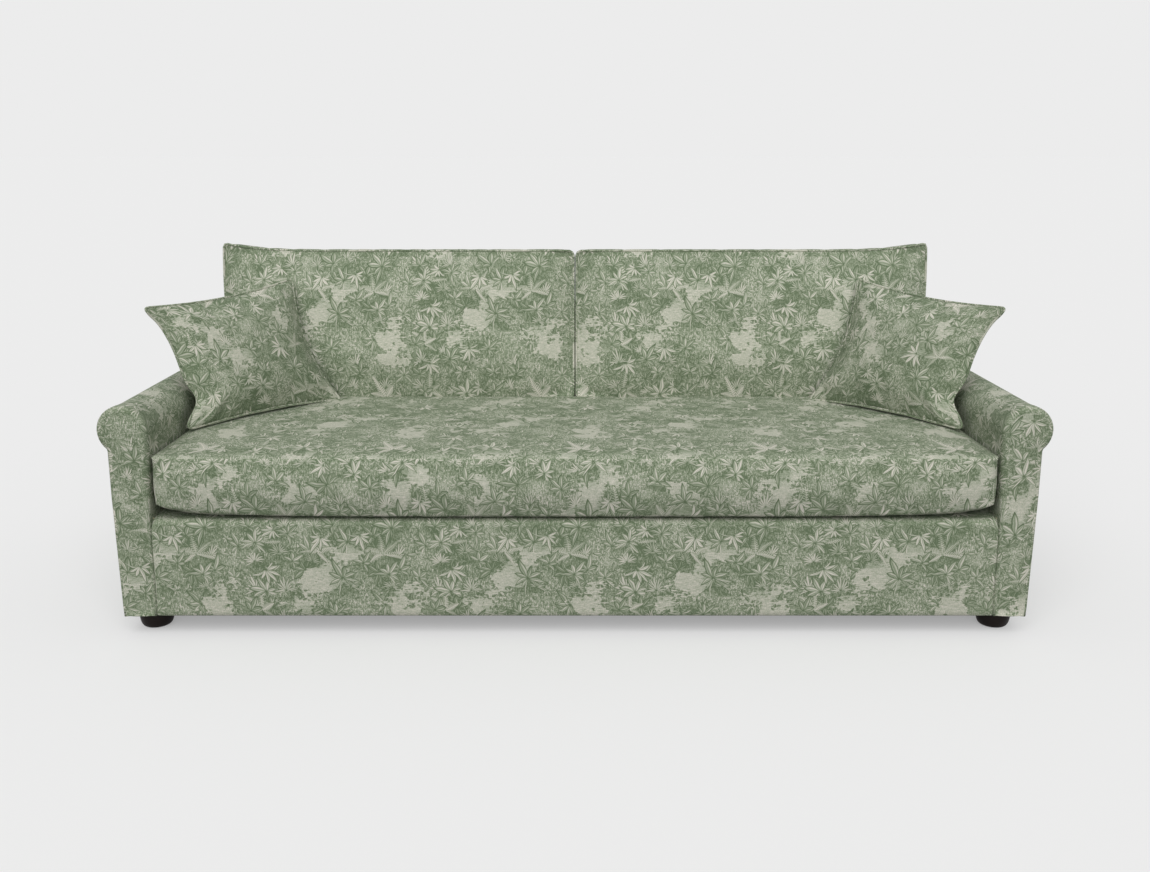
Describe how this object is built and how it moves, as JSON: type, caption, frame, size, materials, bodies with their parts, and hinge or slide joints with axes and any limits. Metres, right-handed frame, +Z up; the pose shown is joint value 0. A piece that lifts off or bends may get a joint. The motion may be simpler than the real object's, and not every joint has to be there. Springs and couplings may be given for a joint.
{
  "type": "four-seater sofa",
  "caption": "Long sofa with low rolled arms, a loose bench seat cushion, loose back cushions, scatter cushions and bun feet, in an all-over foliage print.",
  "frame": {"origin": "on the floor, under the middle of the sofa's footprint", "axes": "+X to the right along the width seen from the front, +Y to the back, +Z up"},
  "size_m": [2.4, 1.0099, 0.9425],
  "materials": {
    "printed_linen": "linen weave printed all over with green foliage on a pale ground",
    "timber": "planed, bare",
    "board": "plywood, hardboard and card, bare",
    "foam": "foam and fibre filling",
    "steel": "drawn wire and zinc-plated bolts",
    "foot_wood": "turned hardwood with a dark satin stain",
    "black_cloth": "woven webbing and spunbond lining",
    "platform_cloth": "plain calico",
    "zip": "nylon coil zip on a woven tape",
    "glide": "moulded glide"
  },
  "bodies": {
    "sofa": {"front_rail": "timber", "seat_rear_rail": "timber", "rear_rail": "timber", "end_rails": "timber", "cross_rails": "timber", "corner_blocks": "timber", "front_posts": "timber", "rear_stumps": "timber", "roll_cores": "board", "arm_panels": "board", "outer_boards": "board", "left_facing_boards": "board", "right_facing_boards": "board", "back_posts": "timber", "back_top_rails": "timber", "back_lower_rails": "timber", "back_board": "board", "frame_bolts": "steel", "seat_springs": "steel", "spring_clips": "steel", "tie_wires": "steel", "back_webbing": "black_cloth", "deck_padding": "foam", "border_padding": "foam", "facing_pads": "foam", "left_arm_foam": "foam", "right_arm_foam": "foam", "back_padding": "foam", "deck_cloth": "platform_cloth", "front_border_cover": "printed_linen", "left_arm_cover": "printed_linen", "right_arm_cover": "printed_linen", "left_front_facing": "printed_linen", "right_front_facing": "printed_linen", "left_rear_facing": "printed_linen", "right_rear_facing": "printed_linen", "left_outside_arm": "printed_linen", "right_outside_arm": "printed_linen", "inside_back_cover": "printed_linen", "outside_back_cover": "printed_linen", "dust_cover": "black_cloth", "feet": "foot_wood", "foot_bolts": "steel", "foot_glides": "glide"},
    "seat_cushion": {"seat_cushion_cover": "printed_linen", "seat_cushion_core": "foam", "seat_cushion_zip": "zip"},
    "left_back_cushion": {"left_back_cushion_cover": "printed_linen", "left_back_cushion_pad": "foam", "left_back_cushion_zip": "zip"},
    "right_back_cushion": {"right_back_cushion_cover": "printed_linen", "right_back_cushion_pad": "foam", "right_back_cushion_zip": "zip"},
    "left_scatter_cushion": {"left_scatter_cushion_cover": "printed_linen", "left_scatter_cushion_pad": "foam", "left_scatter_cushion_zip": "zip"},
    "right_scatter_cushion": {"right_scatter_cushion_cover": "printed_linen", "right_scatter_cushion_pad": "foam", "right_scatter_cushion_zip": "zip"}
  },
  "joints": [
    {"name": "seat_cushion_lift", "type": "slide", "parent": "sofa", "child": "seat_cushion", "axis": [0, 0, 1], "range_m": [0, 0.45]},
    {"name": "left_back_cushion_lift", "type": "slide", "parent": "seat_cushion", "child": "left_back_cushion", "axis": [0, 0.1392, 0.9903], "range_m": [0, 0.35]},
    {"name": "right_back_cushion_lift", "type": "slide", "parent": "seat_cushion", "child": "right_back_cushion", "axis": [0, 0.1392, 0.9903], "range_m": [0, 0.35]},
    {"name": "left_scatter_cushion_lift", "type": "slide", "parent": "seat_cushion", "child": "left_scatter_cushion", "axis": [0, -0.5, 0.866], "range_m": [0, 0.4]},
    {"name": "right_scatter_cushion_lift", "type": "slide", "parent": "seat_cushion", "child": "right_scatter_cushion", "axis": [0, -0.5, 0.866], "range_m": [0, 0.4]}
  ]
}
